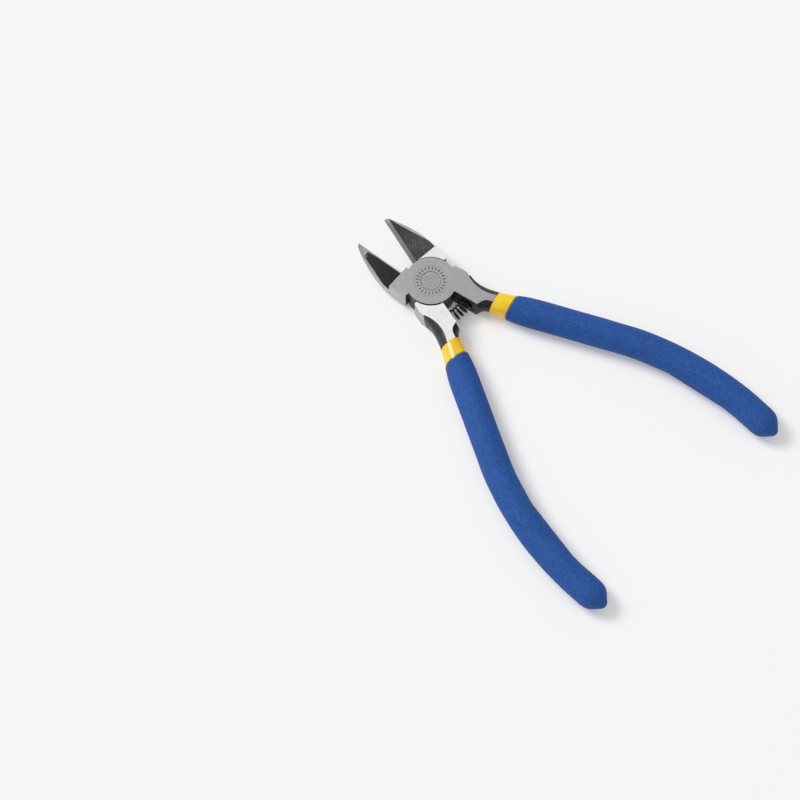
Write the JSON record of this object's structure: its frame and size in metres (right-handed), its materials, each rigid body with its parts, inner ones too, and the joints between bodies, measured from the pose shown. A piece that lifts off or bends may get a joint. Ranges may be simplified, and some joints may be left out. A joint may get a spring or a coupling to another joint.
{
  "type": "flush cutter",
  "caption": "Lap-jointed flush cutter with forged steel levers, a riveted pivot, a return spring and dipped handles, standing open.",
  "frame": {"origin": "on the pivot axis, in the rear face of the head, which the tool lies on", "axes": "+X from the pivot to the jaws along the centreline, +Z out of the front face, +Y to the left of +X"},
  "size_m": [0.1511, 0.0962, 0.0106],
  "materials": {
    "satin_steel": "satin ground faces, black oxide in the recesses and on the inner walls",
    "ground_steel": "bright ground faces brushed along the handle, dark ground hollow",
    "rivet_steel": "ground flush with the head",
    "spring_wire": "black oxide, slightly glossy",
    "yellow_dip": "glossy dipped vinyl",
    "blue_dip": "frosted, finely pebbled dipped vinyl"
  },
  "bodies": {
    "front_half": {"front_lever": "satin_steel", "front_undercoat": "yellow_dip", "front_grip": "blue_dip", "pivot_rivet": "rivet_steel", "return_spring": "spring_wire"},
    "rear_half": {"rear_lever": "ground_steel", "rear_undercoat": "yellow_dip", "rear_grip": "blue_dip"}
  },
  "joints": [
    {"name": "pivot", "type": "hinge", "parent": "front_half", "child": "rear_half", "pos_m": [0, 0, 0], "axis": [0, 0, 1], "range_deg": [0, 24.1], "stiffness_Nm_per_rad": 1.5, "deforming": ["return_spring"]}
  ]
}
